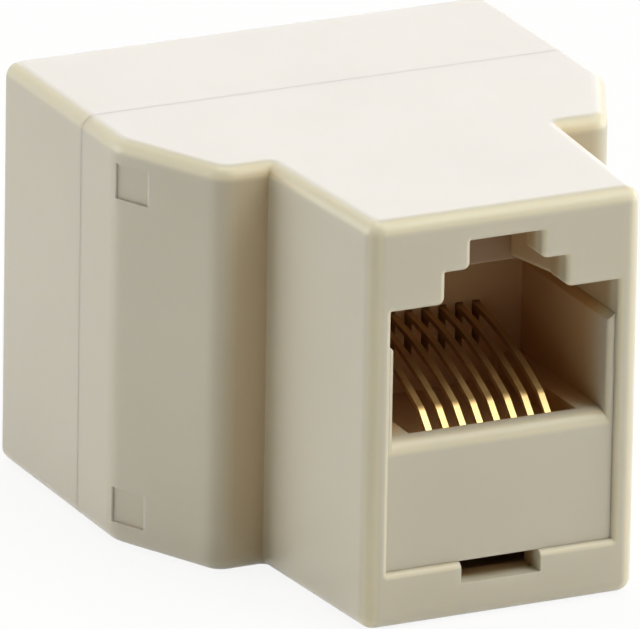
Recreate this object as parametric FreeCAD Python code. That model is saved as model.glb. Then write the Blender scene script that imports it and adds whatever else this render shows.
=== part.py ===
import FreeCAD, Part
import math
import os
from FreeCAD import Placement, Rotation, Vector

# Ethernet splitter: one socket at the front, two side by side at the rear. Millimetres.
# X runs across, Y from the front face to the rear face, Z up from the base.

# Socket opening, the same at every port
window_width = 13.5
socket_height = 7.5
latch_width = 7.2
latch_height = 1.8
latch_tip_width = 4.25
latch_tip_height = 1.6
latch_headroom = 0.4
sill_height = 1.9
slot_width = 4.75
slot_depth = 1.15
port_wall = 2.0
guide_length = 5.4
guide_taper = 0.75
guide_relief = 0.05
window_round = 0.35
window_outer_corner = 0.4
window_inner_corner = 0.03

# Shell walls
floor_wall = 1.3
roof_wall = 1.3
neck_wall = 1.3
side_wall = 0.85
divider_wall = 0.8
shoulder_wall = 1.2
chamfer_wall = 1.1

# Shell sizes and edges
overall_height = 23.15
neck_length = 11.25
neck_draft = 0.75
chamfer_length = 6.75
chamfer_depth = 3.2
front_straight = 4.3
rear_length = 10.1
edge_round = 0.85
neck_corner = 0.9
shoulder_corner = 1.5
chamfer_corner = 2.5
crease_round = 0.05
rear_round = 0.4
seam_bevel = 0.01

# Snap fit between the two shells
snap_length = 2.1
snap_height = 2.0
snap_recess = 0.15
snap_clearance = 0.1
hook_clearance = 0.01
arm_thickness = 0.75
arm_root = 3.0
tongue_thickness = 0.7
tongue_reach = 1.6
tongue_root = 1.5
tongue_side_gap = 0.4

# Contact block
fit_clearance = 0.01
panel_recess = 0.4
lip_round = 0.95
lip_depth = 1.0
cheek_thickness = 0.4
cheek_height = 5.1
cheek_slope = 0.4
cheek_round = 0.38
pit_width = 10.0
trough_length = 1.9
trough_clearance = 0.25
tail_cover = 0.3
socket_depth = 10.8
socket_roof = 1.0
comb_wall = 1.0
comb_foot = 0.6
comb_slot = 2.7
leg_width = 1.5
leg_inset = 1.05
shelf_reach = 1.5
shelf_thickness = 1.25

# Spring contact
contact_count = 8
contact_pitch = 1.016
contact_width = 0.36
contact_thickness = 0.3
contact_clearance = 0.05
bend_radius = 0.85
bend_drop = 1.0
steep_rise = 44.0
steep_run = 1.3
knee_radius = 1.0
bow_rise = 27.0
tip_rise = 6.0
comb_entry = 0.4
tail_overlap = 2.6

# Circuit board
board_thickness = 1.2
board_margin = 0.6
board_clearance = 0.15
board_corner = 0.5

# Heights: the latch notch hangs from the ceiling, the sill stands on the floor, the panel fills what is left
floor_z = floor_wall
sill_z = floor_z + sill_height
slot_z = sill_z - slot_depth
ceiling_z = overall_height - roof_wall
latch_tip_z = ceiling_z - latch_headroom
latch_z = latch_tip_z - latch_tip_height
plug_top_z = latch_z - latch_height
lip_z = plug_top_z - socket_height
bend_z = lip_z - bend_drop
tail_z = bend_z - bend_radius
board_top_z = tail_z - contact_thickness / 2
board_z = board_top_z - board_thickness
shelf_z = board_z - shelf_thickness

# Places along the body
overall_length = neck_length + chamfer_length + front_straight + rear_length
front_y = -overall_length / 2
rear_y = overall_length / 2
shoulder_y = front_y + neck_length
corner_y = shoulder_y + chamfer_length
seam_y = corner_y + front_straight
block_length = socket_depth + comb_wall

# Half widths
window_half = window_width / 2
neck_half = window_half + neck_wall
port_x = (window_width + divider_wall) / 2
body_half = port_x + window_half + side_wall
shoulder_x = body_half - chamfer_depth
side_inner_x = body_half - side_wall
block_half = window_half - fit_clearance
cheek_inner = block_half - cheek_thickness
contact_span = (contact_count - 1) * contact_pitch
leg_outer = block_half - leg_inset
leg_inner = leg_outer - leg_width

# A cut runs this far past the face that it leaves, and two places this close are one
overrun = 1.0
touching = 1e-4

# Each port's place: the middle of its face, and its turn about Z
ports = {
    "front": (Vector(0, front_y, 0), 0),
    "rear_left": (Vector(-port_x, rear_y, 0), 180),
    "rear_right": (Vector(port_x, rear_y, 0), 180),
}
rear_ports = ["rear_left", "rear_right"]


def at_port(shape, port):
    """Copy of a shape made at the origin, with depth along +Y, set at a port."""
    place, turn = ports[port]
    copy = shape.copy()
    copy.Placement = Placement(place, Rotation(Vector(0, 0, 1), turn)) * shape.Placement
    return copy


def box(x, y, z):
    """Box between the two values of each pair."""
    size = [high - low for low, high in (x, y, z)]
    return Part.makeBox(*size, Vector(x[0], y[0], z[0]))


def outline(corners):
    """Closed wire through (point, radius) corners, each rounded by an arc of its radius."""
    stretches = []
    for index, (point, radius) in enumerate(corners):
        before = (corners[index - 1][0] - point).normalize()
        after = (corners[(index + 1) % len(corners)][0] - point).normalize()
        if radius == 0:
            stretches.append((point, point, point))
            continue
        half_angle = before.getAngle(after) / 2
        setback = radius / math.tan(half_angle)
        middle = (before + after).normalize()
        bulge = radius / math.sin(half_angle) - radius
        stretches.append((point + before * setback, point + middle * bulge, point + after * setback))
    edges = []
    for index, (start, middle, end) in enumerate(stretches):
        if start != end:
            edges.append(Part.Arc(start, middle, end).toShape())
        edges.append(Part.LineSegment(end, stretches[(index + 1) % len(stretches)][0]).toShape())
    return Part.Wire(edges)


def mirrored(corners):
    """Right-hand corners followed by their mirror images, back to the start."""
    left = [(Vector(-point.x, point.y, point.z), radius) for point, radius in reversed(corners)]
    return corners + left


def solid_between(corners, sweep):
    """Prism of a rounded outline along a vector."""
    return Part.Face(outline(corners)).extrude(sweep)


def chamfer_x(y, inset):
    """X of the right flank's surface at a given Y, moved in by a wall."""
    slope = chamfer_depth / chamfer_length
    return body_half - (corner_y - y) * slope - inset * math.hypot(1, slope)


def chamfer_y(x, inset):
    """Y at which the flank's surface, moved in by a wall, reaches a given X."""
    slope = chamfer_depth / chamfer_length
    return corner_y - (body_half - inset * math.hypot(1, slope) - x) / slope


def edges_at(shape, axis, value, low=None, high=None):
    """Edges that lie in the plane where an axis has a value, within a box if one is given."""
    found = []
    for edge in shape.Edges:
        bounds = edge.BoundBox
        start = getattr(bounds, axis + "Min")
        end = getattr(bounds, axis + "Max")
        in_plane = abs(start - value) < touching and abs(end - value) < touching
        in_box = low is None or (bounds.XMin > low.x and bounds.XMax < high.x
                                 and bounds.ZMin > low.z and bounds.ZMax < high.z)
        if in_plane and in_box:
            found.append(edge)
    return found


def whole_body():
    """Outer form of both shells in one, before the parting line divides it."""
    plan = mirrored([
        (Vector(neck_half, front_y, 0), neck_corner),
        (Vector(neck_half + neck_draft, shoulder_y, 0), crease_round),
        (Vector(shoulder_x, shoulder_y, 0), shoulder_corner),
        (Vector(body_half, corner_y, 0), chamfer_corner),
        (Vector(body_half, rear_y, 0), 0),
    ])
    body = solid_between(plan, Vector(0, 0, overall_height))
    rims = edges_at(body, "Z", 0) + edges_at(body, "Z", overall_height)
    rims = [edge for edge in rims if edge.BoundBox.YMin < rear_y - touching]
    body = body.makeFillet(edge_round, rims)
    return body.makeFillet(rear_round, edges_at(body, "Y", rear_y))


def half_body(start, end):
    """Outer form between two Y values, with a hairline bevel where it meets the other half."""
    across = (-body_half - overrun, body_half + overrun)
    limits = box(across, (start, end), (-overrun, overall_height + overrun))
    half = whole_body().common(limits)
    return half.makeChamfer(seam_bevel, edges_at(half, "Y", seam_y))


def window_cutter():
    """Plug opening with its stepped latch notch, as a prism."""
    right = [
        (window_half, sill_z, window_inner_corner),
        (window_half, plug_top_z, window_inner_corner),
        (latch_width / 2, plug_top_z, window_outer_corner),
        (latch_width / 2, latch_z, window_inner_corner),
        (latch_tip_width / 2, latch_z, window_outer_corner),
        (latch_tip_width / 2, latch_tip_z, window_inner_corner),
    ]
    corners = mirrored([(Vector(x, -overrun, z), radius) for x, z, radius in right])
    return solid_between(corners, Vector(0, port_wall + overrun, 0))


def latch_guides():
    """Two rails under the ceiling, behind the notch, between which the latch channel narrows."""
    mouth = latch_width / 2 + guide_relief
    beyond = window_half + overrun
    bottom_z = plug_top_z + guide_relief
    corners = [
        (Vector(mouth, 0, bottom_z), 0),
        (Vector(mouth, port_wall, bottom_z), 0),
        (Vector(mouth - guide_taper, guide_length, bottom_z), 0),
        (Vector(beyond, guide_length, bottom_z), 0),
        (Vector(beyond, 0, bottom_z), 0),
    ]
    rail = solid_between(corners, Vector(0, 0, ceiling_z + overrun - bottom_z))
    inner_edges = [edge for edge in edges_at(rail, "Z", bottom_z) if edge.BoundBox.XMax < mouth + touching]
    rail = rail.makeFillet(window_outer_corner, inner_edges)
    return [rail, rail.mirror(Vector(0, 0, 0), Vector(1, 0, 0))]


def cut_room(shell, room, port):
    """Hollow a shell by a room, leaving the port's latch guides standing."""
    return shell.cut(room.cut([at_port(rail, port) for rail in latch_guides()]))


def open_port(shell, port):
    """Cut a port's window through its wall, round the window's outer edge and notch a slot in its sill."""
    cut = shell.cut(at_port(window_cutter(), port))
    face = ports[port][0]
    reach = window_half + fit_clearance
    low = Vector(face.x - reach, 0, sill_z - fit_clearance)
    high = Vector(face.x + reach, 0, latch_tip_z + fit_clearance)
    cut = cut.makeFillet(window_round, edges_at(cut, "Y", face.y, low, high))
    across = (-slot_width / 2, slot_width / 2)
    slot = box(across, (-overrun, port_wall + overrun), (slot_z, sill_z + overrun))
    return cut.cut(at_port(slot, port))


def snap_levels():
    """Low and high Z of the snap windows: one row on the floor, one under the ceiling."""
    return [(floor_z, floor_z + snap_height), (ceiling_z - snap_height, ceiling_z)]


def front_shell():
    """Neck, shoulders and flanks, open at the rear, with four snap windows."""
    shoulder_inner_y = shoulder_y + shoulder_wall
    plan = mirrored([
        (Vector(window_half, front_y + port_wall, floor_z), 0),
        (Vector(window_half, shoulder_inner_y, floor_z), 0),
        (Vector(chamfer_x(shoulder_inner_y, chamfer_wall), shoulder_inner_y, floor_z), 0),
        (Vector(side_inner_x, chamfer_y(side_inner_x, chamfer_wall), floor_z), 0),
        (Vector(side_inner_x, seam_y + overrun, floor_z), 0),
    ])
    shell = half_body(front_y - overrun, seam_y)
    shell = cut_room(shell, solid_between(plan, Vector(0, 0, ceiling_z - floor_z)), "front")
    for low, high in snap_levels():
        across = (-body_half - overrun, body_half + overrun)
        flanks = box(across, (corner_y - snap_length, corner_y), (low, high))
        middle = box((-window_half, window_half), (corner_y - snap_length, corner_y), (low, high))
        shell = shell.cut(flanks.cut(middle))
    return open_port(shell, "front")


def snap_arm(low, high):
    """Right-hand arm that runs forward inside the front shell, with a hook in its snap window."""
    outer_x = side_inner_x - snap_clearance
    inner_x = outer_x - arm_thickness
    root_y = seam_y + arm_root
    hook_back = corner_y - hook_clearance
    hook_front = corner_y - snap_length + hook_clearance
    inside = chamfer_wall + snap_clearance
    slope = chamfer_depth / chamfer_length
    points = [
        (body_half - side_wall / 2, root_y),
        (body_half - side_wall / 2, seam_y),
        (outer_x, seam_y),
        (outer_x, chamfer_y(outer_x, inside)),
        (chamfer_x(hook_back, inside), hook_back),
        (chamfer_x(hook_back, snap_recess), hook_back),
        (chamfer_x(hook_front, snap_recess), hook_front),
        (inner_x - (corner_y - hook_front) * slope, hook_front),
        (inner_x, corner_y),
        (inner_x, root_y),
    ]
    corners = [(Vector(x, y, low + hook_clearance), 0) for x, y in points]
    return solid_between(corners, Vector(0, 0, high - low - 2 * hook_clearance))


def tongues():
    """Lips that slide under the front shell's ceiling and over its floor."""
    reach = (seam_y - tongue_reach, seam_y + tongue_root)
    beyond = (seam_y, seam_y + tongue_root)
    top_z = ceiling_z - snap_clearance
    bottom_z = floor_z + snap_clearance
    pieces = []
    for port in rear_ports:
        middle = ports[port][0].x
        half = leg_inner - tongue_side_gap
        across = (middle - half, middle + half)
        pieces.append(box(across, reach, (top_z - tongue_thickness, top_z)))
        pieces.append(box(across, beyond, (top_z - tongue_thickness, ceiling_z)))
        pieces.append(box(across, reach, (bottom_z, bottom_z + tongue_thickness)))
        pieces.append(box(across, beyond, (floor_z, bottom_z + tongue_thickness)))
    return pieces


def rear_shell():
    """Two-port end with a divider, four snap arms and the locating tongues."""
    shell = half_body(seam_y, rear_y + overrun)
    for port in rear_ports:
        middle = ports[port][0].x
        across = (middle - window_half, middle + window_half)
        room = box(across, (seam_y - overrun, rear_y - port_wall), (floor_z, ceiling_z))
        shell = cut_room(shell, room, port)
    for port in rear_ports:
        shell = open_port(shell, port)
    arms = [snap_arm(low, high) for low, high in snap_levels()]
    arms += [arm.mirror(Vector(0, 0, 0), Vector(1, 0, 0)) for arm in arms]
    return shell.multiFuse(arms + tongues()).removeSplitter()


def contact_places():
    """X of each contact about the middle of its port."""
    return [index * contact_pitch - contact_span / 2 for index in range(contact_count)]


def contact_block():
    """Moulding behind a window: panel and lip, cheeks, legs, tail channels, comb, roof, board shelf."""
    panel_y = panel_recess
    lip_back_y = panel_y + lip_depth
    side = Vector(-block_half, 0, 0)
    profile = [
        (panel_y, sill_z + fit_clearance, 0),
        (port_wall, sill_z + fit_clearance, 0),
        (port_wall, shelf_z, 0),
        (block_length + shelf_reach, shelf_z, 0),
        (block_length + shelf_reach, board_z, 0),
        (block_length, board_z, 0),
        (block_length, lip_z, 0),
        (panel_y, lip_z, lip_round),
    ]
    corners = [(side + Vector(0, y, z), radius) for y, z, radius in profile]
    block = solid_between(corners, Vector(2 * block_half, 0, 0))

    cheek_top = lip_z + cheek_height
    cheek_foot = lip_z - lip_round
    cheek_face = solid_between([
        (Vector(cheek_inner, panel_y, cheek_foot), 0),
        (Vector(block_half, panel_y, cheek_foot), 0),
        (Vector(block_half, panel_y, cheek_top + cheek_slope), 0),
        (Vector(cheek_inner, panel_y, cheek_top), 0),
    ], Vector(0, block_length - panel_y, 0))
    cheek_plan = solid_between([
        (Vector(cheek_inner, panel_y, cheek_foot), cheek_round),
        (Vector(block_half, panel_y, cheek_foot), 0),
        (Vector(block_half, block_length, cheek_foot), 0),
        (Vector(cheek_inner, block_length, cheek_foot), 0),
    ], Vector(0, 0, cheek_height + lip_round + cheek_slope))
    cheek = cheek_face.common(cheek_plan)
    leg = box((leg_inner, leg_outer), (port_wall, block_length), (floor_z, shelf_z))
    stop_y = guide_length + fit_clearance
    roof_z = plug_top_z + socket_roof
    stop_top = ceiling_z - fit_clearance
    full_width = (-block_half, block_half)
    comb = box(full_width, (socket_depth, block_length), (lip_z, roof_z))
    roof = box(full_width, (stop_y, block_length), (plug_top_z, roof_z))
    stop = box((-leg_outer, leg_outer), (stop_y, stop_y + socket_roof), (plug_top_z, stop_top))
    sides = [cheek, leg]
    sides += [piece.mirror(Vector(0, 0, 0), Vector(1, 0, 0)) for piece in sides]
    block = block.multiFuse(sides + [comb, roof, stop])

    pit_half = pit_width / 2
    pit_z = tail_z + contact_thickness / 2 + tail_cover
    trough_z = tail_z - contact_thickness / 2 - trough_clearance
    trough_end = lip_back_y + trough_length
    cuts = [
        box((-pit_half, pit_half), (lip_back_y, socket_depth), (pit_z, lip_z + overrun)),
        box((-pit_half, pit_half), (lip_back_y, trough_end), (trough_z, lip_z)),
    ]
    comb_z = lip_z + comb_foot
    half_width = contact_width / 2 + contact_clearance
    half_height = contact_thickness / 2 + contact_clearance
    rear_end = block_length + overrun
    tail_depth = (trough_end - overrun, rear_end)
    tail_levels = (tail_z - half_height, tail_z + half_height)
    comb_depth = (socket_depth - overrun, rear_end)
    for x in contact_places():
        across = (x - half_width, x + half_width)
        cuts.append(box(across, tail_depth, tail_levels))
        cuts.append(box(across, comb_depth, (comb_z, comb_z + comb_slot)))
    return block.cut(cuts).removeSplitter()


def spring_contact():
    """Flat strip formed from its tail: bend behind the lip, steep run, knee, then a bow into the comb."""
    steep, bow, tip = [math.radians(angle) for angle in (steep_rise, bow_rise, tip_rise)]
    bend_y = panel_recess + lip_depth + contact_clearance + contact_thickness / 2 + bend_radius
    knee_y = bend_y - bend_radius * math.sin(steep) + steep_run * math.cos(steep)
    bow_y = knee_y + knee_radius * (math.sin(steep) - math.sin(bow))
    bow_radius = (socket_depth + comb_entry - bow_y) / (math.sin(bow) - math.sin(tip))
    tail_y = block_length + tail_overlap
    forming = [
        (tail_y - bend_y, bend_radius, 180 - steep_rise),
        (steep_run, knee_radius, steep_rise - bow_rise),
        (0, bow_radius, bow_rise - tip_rise),
    ]
    axis = Vector(-1, 0, 0)
    heading = Vector(0, -1, 0)
    place = Vector(0, tail_y, tail_z)
    to_side = Vector(contact_width / 2, 0, 0)
    to_top = Vector(0, 0, contact_thickness / 2)
    ring = [-to_side - to_top, to_side - to_top, to_side + to_top, -to_side + to_top]
    section = Part.Face(outline([(place + corner, 0) for corner in ring]))
    strip = []
    for run, radius, turn in forming:
        if run > 0:
            strip.append(section.extrude(heading * run))
            section = section.translated(heading * run)
            place += heading * run
        centre = place + axis.cross(heading) * radius
        strip.append(section.revolve(centre, axis, turn))
        section = section.rotated(centre, axis, turn)
        bent = Rotation(axis, turn)
        place = centre + bent.multVec(place - centre)
        heading = bent.multVec(heading)
    return strip[0].multiFuse(strip[1:]).removeSplitter()


def circuit_board():
    """Board on the shelves of the three blocks, narrow in the neck and wide in the body."""
    wide_half = port_x + contact_span / 2 + board_margin
    narrow_half = window_half - board_clearance
    step_y = chamfer_y(wide_half + board_clearance, chamfer_wall)
    front_edge = front_y + block_length + board_clearance
    rear_edge = rear_y - block_length - board_clearance
    plan = mirrored([
        (Vector(narrow_half, front_edge, board_z), board_corner),
        (Vector(narrow_half, step_y, board_z), board_corner),
        (Vector(wide_half, step_y, board_z), board_corner),
        (Vector(wide_half, rear_edge, board_z), board_corner),
    ])
    return solid_between(plan, Vector(0, 0, board_thickness))


def build():
    """All pieces by node name."""
    pieces = {"front_shell": front_shell(), "rear_shell": rear_shell(), "circuit_board": circuit_board()}
    block = contact_block()
    contact = spring_contact()
    for port in ports:
        pieces[port + "_contact_block"] = at_port(block, port)
        for number, x in enumerate(contact_places(), start=1):
            pieces[port + "_contact_" + str(number)] = at_port(contact.translated(Vector(x, 0, 0)), port)
    return pieces


os.makedirs("parts", exist_ok=True)
for name, piece in build().items():
    piece.exportStep("parts/" + name + ".step")
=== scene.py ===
import bpy
import math
from mathutils import Matrix, Vector


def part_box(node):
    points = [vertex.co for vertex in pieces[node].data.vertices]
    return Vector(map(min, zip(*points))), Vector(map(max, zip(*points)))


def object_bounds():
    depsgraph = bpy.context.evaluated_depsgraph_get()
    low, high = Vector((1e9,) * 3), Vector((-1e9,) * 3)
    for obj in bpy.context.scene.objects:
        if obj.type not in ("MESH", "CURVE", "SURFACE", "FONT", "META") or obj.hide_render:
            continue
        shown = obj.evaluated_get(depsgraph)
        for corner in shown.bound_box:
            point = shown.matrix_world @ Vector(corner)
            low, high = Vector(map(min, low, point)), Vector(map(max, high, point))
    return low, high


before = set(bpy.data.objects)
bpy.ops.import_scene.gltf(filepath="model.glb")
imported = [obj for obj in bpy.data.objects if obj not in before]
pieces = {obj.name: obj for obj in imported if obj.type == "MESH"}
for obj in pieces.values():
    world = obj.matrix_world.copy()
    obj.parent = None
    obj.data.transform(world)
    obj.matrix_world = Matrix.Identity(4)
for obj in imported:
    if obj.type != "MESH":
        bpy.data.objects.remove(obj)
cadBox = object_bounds()
scene = bpy.context.scene
bpy.ops.object.select_all(action="DESELECT")
print("frame loaded,", len(pieces), "nodes")


def middleX(name):
    low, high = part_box(name)
    return (low.x + high.x) / 2


# Places read from the frame, in metres
socketFace = cadBox[1].y    # the socket faces stand this far in front of and behind the middle
rearPort = middleX("rear_right_contact_block")
contactPitch = abs(middleX("front_contact_2") - middleX("front_contact_1"))
blockNames = [name for name in pieces if name.endswith("contact_block")]
contactNames = [name for name in pieces if "_contact_" in name and name not in blockNames]


class Link:
    # a node socket that takes part in sums

    def __init__(self, tree, socket=None):
        self.tree = tree
        self.socket = socket

    def node(self, kind, settings, inputs, out=0):
        made = self.tree.nodes.new("ShaderNode" + kind)
        for name, value in settings.items():
            if name == "stops":
                self.fillRamp(made.color_ramp, value)
            else:
                setattr(made, name, value)
        for name, value in inputs.items():
            socket = made.inputs[name]
            if isinstance(value, Link):
                self.tree.links.new(value.socket, socket)
            elif socket.type == "RGBA":
                socket.default_value = (*value, 1.0)    # colours are written as red, green and blue
            else:
                socket.default_value = value
        return Link(self.tree, made.outputs[out]) if made.outputs else None

    def fillRamp(self, ramp, stops):
        while len(ramp.elements) < len(stops):
            ramp.elements.new(1.0)
        for element, (place, colour) in zip(ramp.elements, stops):
            element.position = place
            element.color = (*colour, 1.0)

    def maths(self, operation, first, second):
        return self.node("Math", {"operation": operation}, {0: first, 1: second})

    def __add__(self, other):
        return self.maths("ADD", self, other)

    def __radd__(self, other):
        return self.maths("ADD", other, self)

    def __sub__(self, other):
        return self.maths("SUBTRACT", self, other)

    def __rsub__(self, other):
        return self.maths("SUBTRACT", other, self)

    def __mul__(self, other):
        return self.maths("MULTIPLY", self, other)

    def __rmul__(self, other):
        return self.maths("MULTIPLY", other, self)

    def __gt__(self, other):
        return self.maths("GREATER_THAN", self, other)

    def __lt__(self, other):
        return self.maths("LESS_THAN", self, other)

    def __abs__(self):
        return self.node("Math", {"operation": "ABSOLUTE"}, {0: self})

    def axis(self, name):
        return self.node("SeparateXYZ", {}, {0: self}, name)

    def between(self, start, end):    # 0 at the start, 1 at the end
        return self.node("MapRange", {}, {"Value": self, "From Min": start, "From Max": end})

    def ramp(self, stops):
        return self.node("ValToRGB", {"stops": stops}, {"Fac": self})

    def noise(self, scale, detail=2.0):
        return self.node("TexNoise", {}, {"Vector": self, "Scale": scale, "Detail": detail}, "Fac")

    def swing(self, amount):
        return (self - 0.5) * amount    # noise lies about a half

    def stretch(self, scale):
        return self.node("Mapping", {"vector_type": "POINT"}, {"Vector": self, "Scale": scale})

    def blend(self, mode, share, first, second):
        settings = {"data_type": "RGBA", "blend_type": mode}
        return self.node("Mix", settings, {0: share, 6: first, 7: second}, 2)


def startMaterial(name):
    material = bpy.data.materials.new(name)
    material.use_nodes = True
    material.node_tree.nodes.clear()
    coords = Link(material.node_tree).node("TexCoord", {}, {}, "Object")
    return material, coords


def dress(names, material):
    for name in names:
        slots = pieces[name].data.materials
        slots.clear()
        slots.append(material)


# Moulded ivory plastic: the shells, and the contact blocks a shade greyer
shellLook = {
    "name": "ivoryShell",
    "pale": (0.812, 0.757, 0.612),
    "deep": (0.788, 0.732, 0.586),
    "cloudScale": 90.0,
    "cloudEnds": (0.35, 0.65),
    "edge": (0.930, 0.850, 0.635),            # painted highlight: the roundings are painted paler
    "edgeShare": 0.9,
    "edgeTurn": (0.08, 0.30, 0.86, 0.97),     # turns at which the painted highlight on a rounding comes in and goes again
    "hollowShade": [                               # painted shade in hollows, from closed in to open
        (0.0, (0.66, 0.47, 0.30)), (0.30, (0.69, 0.52, 0.35)), (0.48, (0.70, 0.54, 0.36)),
        (0.60, (0.74, 0.60, 0.41)), (0.72, (0.90, 0.84, 0.72)), (0.85, (1.0, 1.0, 1.0))],
    "hollowReach": 0.011,
    "hollowRays": 3,
    "faceDepth": (0.0006, 0.0016),            # behind a socket face, where the painted shade comes in
    "windowReach": (0.0020, 0.0032),          # from the middle, so the snap windows get no painted shade
    "neckSide": 0.0074,                       # the neck's outer sides lie beyond this
    "neckFacing": 0.95,
    "neckShade": 0.4,                         # share of the painted shade that they keep
    "roofHeight": (0.0174, 0.0182),
    "roofShade": (1.0, 1.0, 1.0),
    "roughness": 0.32,
    "smearScale": 630.0,
    "smearDetail": 3.0,
    "roughnessSwing": 0.10,
    "hollowRoughness": 0.35,
    "grainScale": 9000.0,
    "grainHeight": 2.0e-6,
    "grainStrength": 0.6,
    "edgeRadius": 0.00004,
    "edgeRays": 3,
    "ior": 1.52,
    "scatter": 0.50,
    "scatterRadius": (0.70, 0.85, 1.0),
    "scatterDepth": 0.0009,
}
blockLook = dict(
    shellLook,
    name="ivoryBlock",
    pale=(0.798, 0.750, 0.614),
    deep=(0.776, 0.727, 0.590),
    faceDepth=(0.0008, 0.0034),
    # painted shade on the blocks' roofs, which lie in the dark of the latch channel
    roofShade=(0.50, 0.44, 0.38),
    # painted shade in the blocks' hollows, from closed in to open
    hollowShade=[
        (0.0, (0.62, 0.36, 0.18)), (0.35, (0.80, 0.52, 0.30)), (0.60, (0.86, 0.64, 0.42)),
        (0.80, (0.92, 0.80, 0.64)), (0.92, (1.0, 1.0, 1.0))],
)


def ivoryPlastic(look):
    material, coords = startMaterial(look["name"])
    across, along, height = [coords.axis(name) for name in "XYZ"]
    fromMiddle = abs(along)
    facing = coords.node("NewGeometry", {}, {}, "Normal")
    upward = facing.axis("Z")
    sideways = abs(facing.axis("X"))

    # painted shade goes where hollows are closed in, behind a socket face and away from the snap
    # windows
    rim, deep = look["faceDepth"]
    inward = fromMiddle.between(socketFace - rim, socketFace - deep)
    rays = {"samples": look["hollowRays"]}
    closed = 1 - coords.node("AmbientOcclusion", rays, {"Distance": look["hollowReach"]}, "AO")
    offWindows = fromMiddle.between(*look["windowReach"])
    neckSide = (abs(across) > look["neckSide"]) * (along < 0.0) * (sideways > look["neckFacing"])
    openness = 1 - closed * inward * offWindows * (1 - neckSide * (1 - look["neckShade"]))

    # colour: cloudy ivory, with a painted highlight on roundings and painted shade in hollows and at
    # the blocks' roofs
    deepAt, paleAt = look["cloudEnds"]
    drift = coords.noise(look["cloudScale"]).ramp([(deepAt, look["deep"]), (paleAt, look["pale"])])
    # painted highlight: roundings are painted paler by how far they turn from flat
    edgeLevels = (0.0, look["edgeShare"], look["edgeShare"], 0.0)
    edgeStops = [(turn, (level,) * 3) for turn, level in zip(look["edgeTurn"], edgeLevels)]
    uprightHighlight = sideways.ramp(edgeStops) * (1 - inward)
    roundHighlight = coords.maths("MAXIMUM", upward.ramp(edgeStops), uprightHighlight)
    baseTone = coords.blend("MIX", roundHighlight, drift, look["edge"])
    shadedTone = coords.blend("MULTIPLY", 1.0, baseTone, openness.ramp(look["hollowShade"]))
    # painted shade above the roof height; the shells' roofShade is white and leaves them as they are
    atRoof = height.between(*look["roofHeight"])
    colour = coords.blend("MULTIPLY", atRoof, shadedTone, look["roofShade"])

    smear = coords.noise(look["smearScale"], look["smearDetail"])
    roughness = look["roughness"] + smear.swing(look["roughnessSwing"])
    roughness = roughness + (1 - openness) * look["hollowRoughness"]
    softEdge = coords.node("Bevel", {"samples": look["edgeRays"]}, {"Radius": look["edgeRadius"]})
    normal = coords.node("Bump", {}, {
        "Strength": look["grainStrength"], "Distance": look["grainHeight"],
        "Height": coords.noise(look["grainScale"]), "Normal": softEdge})
    shader = coords.node("BsdfPrincipled", {"subsurface_method": "RANDOM_WALK"}, {
        "Base Color": colour, "Roughness": roughness, "Normal": normal, "IOR": look["ior"],
        "Subsurface Weight": look["scatter"], "Subsurface Radius": look["scatterRadius"],
        "Subsurface Scale": look["scatterDepth"]})
    coords.node("OutputMaterial", {}, {"Surface": shader})
    return material


dress(["front_shell", "rear_shell"], ivoryPlastic(shellLook))
dress(blockNames, ivoryPlastic(blockLook))
print("plastic done")


# Gold flashed spring wire, with draw marks along its length
wireLook = {
    "name": "goldWire",
    "bright": (0.86, 0.65, 0.31),
    "dull": (0.68, 0.48, 0.20),
    "wearScale": 900.0,
    "wearEnds": (0.3, 0.7),
    "deepShade": (0.50, 0.33, 0.15),
    "shadeDepth": (0.0034, 0.0065),    # behind the socket face, where the painted shade comes in
    "roughness": 0.42,
    "roughnessSwing": 0.16,
    "drawMarks": (9000.0, 300.0, 300.0),
    "drawHeight": 1.5e-6,
    "drawStrength": 0.5,
}


def goldWire(look):
    material, coords = startMaterial(look["name"])
    wear = coords.noise(look["wearScale"])
    dullAt, brightAt = look["wearEnds"]
    baseTone = wear.ramp([(dullAt, look["dull"]), (brightAt, look["bright"])])
    # painted shade: the wire is painted darker the deeper it lies behind the socket face
    near, far = look["shadeDepth"]
    deepShade = abs(coords.axis("Y")).between(socketFace - near, socketFace - far)
    colour = coords.blend("MIX", deepShade, baseTone, look["deepShade"])
    roughness = look["roughness"] + wear.swing(look["roughnessSwing"])
    marks = coords.stretch(look["drawMarks"]).noise(1.0)    # the stretch sets the scale
    normal = coords.node("Bump", {}, {
        "Strength": look["drawStrength"], "Distance": look["drawHeight"], "Height": marks})
    shader = coords.node("BsdfPrincipled", {}, {
        "Base Color": colour, "Metallic": 1.0, "Roughness": roughness, "Normal": normal})
    coords.node("OutputMaterial", {}, {"Surface": shader})
    return material


dress(contactNames, goldWire(wireLook))
print("contacts done")


# Circuit board under green solder mask, with a track and a tinned pad for each contact
boardLook = {
    "name": "greenBoard",
    "mask": (0.035, 0.165, 0.060),
    "track": (0.060, 0.260, 0.085),
    "trackShare": 0.35,        # of the contacts' pitch
    "pad": (0.72, 0.70, 0.66),
    "padShare": 0.62,
    "padFrom": 0.0016,         # from the middle
    "weaveScale": 3500.0,
    "weaveRise": 0.3,          # of a track's height
    "trackHeight": 3.0e-5,
    "trackStrength": 0.4,
    "roughness": 0.28,
    "weaveRoughness": 0.2,
}


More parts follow.
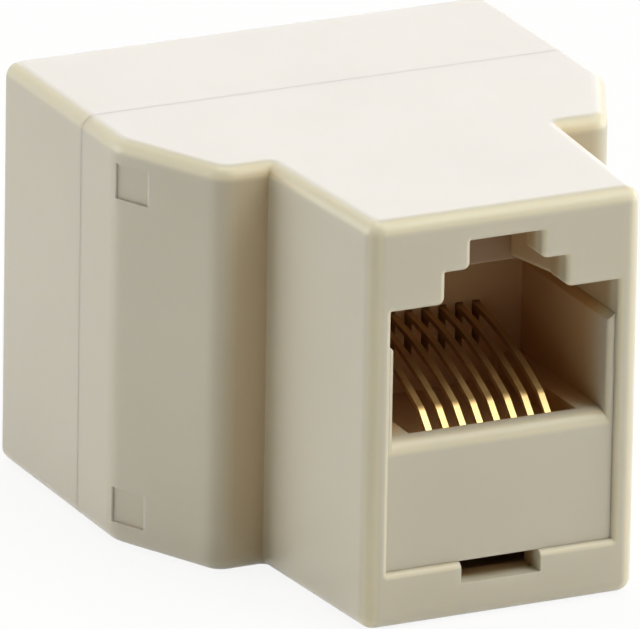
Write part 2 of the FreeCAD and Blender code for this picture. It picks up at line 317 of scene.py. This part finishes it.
def greenBoard(look):
    material, coords = startMaterial(look["name"])
    across, along = [coords.axis(name) for name in "XY"]
    halfPitch = contactPitch / 2
    fromPort = abs(across) - (along > 0.0) * rearPort
    fromContact = coords.maths("PINGPONG", fromPort - halfPitch, halfPitch)
    track = fromContact < halfPitch * look["trackShare"]
    pad = (fromContact < halfPitch * look["padShare"]) * (abs(along) > look["padFrom"])
    weave = coords.noise(look["weaveScale"])
    masked = coords.blend("MIX", track, look["mask"], look["track"])
    colour = coords.blend("MIX", pad, masked, look["pad"])
    roughness = look["roughness"] + weave * look["weaveRoughness"]
    normal = coords.node("Bump", {}, {
        "Strength": look["trackStrength"], "Distance": look["trackHeight"],
        "Height": track + weave * look["weaveRise"]})
    shader = coords.node("BsdfPrincipled", {}, {
        "Base Color": colour, "Metallic": pad, "Roughness": roughness, "Normal": normal})
    coords.node("OutputMaterial", {}, {"Surface": shader})
    return material


dress(["circuit_board"], greenBoard(boardLook))
print("board done")


# White surroundings, as the camera, metal and glass see them
def seenRays(start):
    kinds = ("Is Camera Ray", "Is Glossy Ray", "Is Transmission Ray")
    straight, mirrored, through = [start.node("LightPath", {}, {}, kind) for kind in kinds]
    return start.maths("MINIMUM", straight + mirrored + through, 1.0)


floorLook = {
    "size": 4.0,
    "paper": (0.90, 0.90, 0.90),
    "glow": (1.0, 1.0, 1.0),
    "glowShare": 0.85,         # the rest is paper, which keeps the object's shadow
    "glowStrength": 1.04,
}


def studioFloor(look):
    bpy.ops.mesh.primitive_plane_add(size=look["size"])
    floor = bpy.context.object
    floor.name = "floor"
    material, coords = startMaterial("floorPaper")
    paper = coords.node("BsdfDiffuse", {}, {"Color": look["paper"]})
    glow = coords.node("Emission", {}, {"Color": look["glow"], "Strength": look["glowStrength"]})
    share = seenRays(coords) * look["glowShare"]
    surface = coords.node("MixShader", {}, {0: share, 1: paper, 2: glow})
    coords.node("OutputMaterial", {}, {"Surface": surface})
    floor.data.materials.append(material)
    floor.visible_shadow = False    # hollows are found by shadow rays, and the floor makes none


worldLook = {"colour": (1.0, 1.0, 1.0), "seen": 1.0, "unseen": 0.0}    # a white that is no lamp


def studioWorld(look):
    world = bpy.data.worlds.new("studio")
    scene.world = world
    world.use_nodes = True
    world.cycles.sampling_method = "NONE"
    world.node_tree.nodes.clear()
    start = Link(world.node_tree)
    unseen, seen = [
        start.node("Background", {}, {"Color": look["colour"], "Strength": look[kind]})
        for kind in ("unseen", "seen")]
    surface = start.node("MixShader", {}, {0: seenRays(start), 1: unseen, 2: seen})
    start.node("OutputWorld", {}, {"Surface": surface})


# Lamps: a level of 1 makes a white face square to the lamp read white
lampDistance = 0.5
lamps = {
    "topSoftbox": {"from": (0.0, 0.10, 1.0), "size": 0.30, "level": 0.373, "tint": (1.05, 1.04, 0.91)},
    "backWall": {"from": (0.41, 0.85, 0.336), "size": 0.36, "level": 0.21, "tint": (0.84, 0.89, 1.26)},
    "key": {"from": (0.42, -0.42, 0.82), "size": 0.30, "level": 0.365, "tint": (1.02, 1.02, 0.96)},
    "leftRear": {"from": (-0.85, 0.55, 0.25), "size": 0.30, "level": 0.35, "tint": (0.99, 0.99, 1.02)},
    "frontRight": {"from": (0.5, -0.86, 0.3), "size": 0.30, "level": 0.075, "tint": (1.07, 0.98, 0.97)},
    "rightSide": {"from": (1.0, 0.0, 0.12), "size": 0.30, "level": 0.36, "tint": (1.0, 1.0, 1.0)},
}


def hangLamp(name, look):
    data = bpy.data.lights.new(name, "AREA")
    data.size = look["size"]
    data.color = look["tint"]
    data.energy = look["level"] * (math.pi * lampDistance) ** 2
    light = bpy.data.objects.new(name, data)
    away = Vector(look["from"]).normalized()
    light.location = away * lampDistance
    light.rotation_euler = away.to_track_quat("Z", "Y").to_euler()
    light.visible_camera = False
    scene.collection.objects.link(light)


# Camera: a long lens from the front left, a little above
cameraLook = {
    "azimuth": 25.923,
    "elevation": 19.659,
    "roll": 0.974,
    "distance": 0.9,
    "lens": 933.17,
    "sensor": 36.0,
    "target": (0.0, -0.0018, 0.011),
    "slide": (-0.003631, 0.001241),    # across and up the picture
}


def placeCamera(look):
    azimuth = math.radians(look["azimuth"])
    elevation = math.radians(look["elevation"])
    roll = math.radians(look["roll"])
    away = Vector((-math.sin(azimuth) * math.cos(elevation), -math.cos(azimuth) * math.cos(elevation),
                   math.sin(elevation)))
    right = (-away).cross(Vector((0.0, 0.0, 1.0))).normalized()
    up = away.cross(right)
    across = right * math.cos(roll) + up * math.sin(roll)
    upward = up * math.cos(roll) - right * math.sin(roll)
    slideX, slideY = look["slide"]
    eye = Vector(look["target"]) + away * look["distance"] + across * slideX + upward * slideY
    data = bpy.data.cameras.new("camera")
    data.lens = look["lens"]
    data.sensor_width = look["sensor"]
    camera = bpy.data.objects.new("camera", data)
    turn = Matrix((across, upward, away)).transposed()
    camera.matrix_world = Matrix.Translation(eye) @ turn.to_4x4()
    scene.collection.objects.link(camera)
    scene.camera = camera


studioFloor(floorLook)
studioWorld(worldLook)
for lampName, lampLook in lamps.items():
    hangLamp(lampName, lampLook)
placeCamera(cameraLook)
scene.view_settings.view_transform = "Standard"
print("studio done")
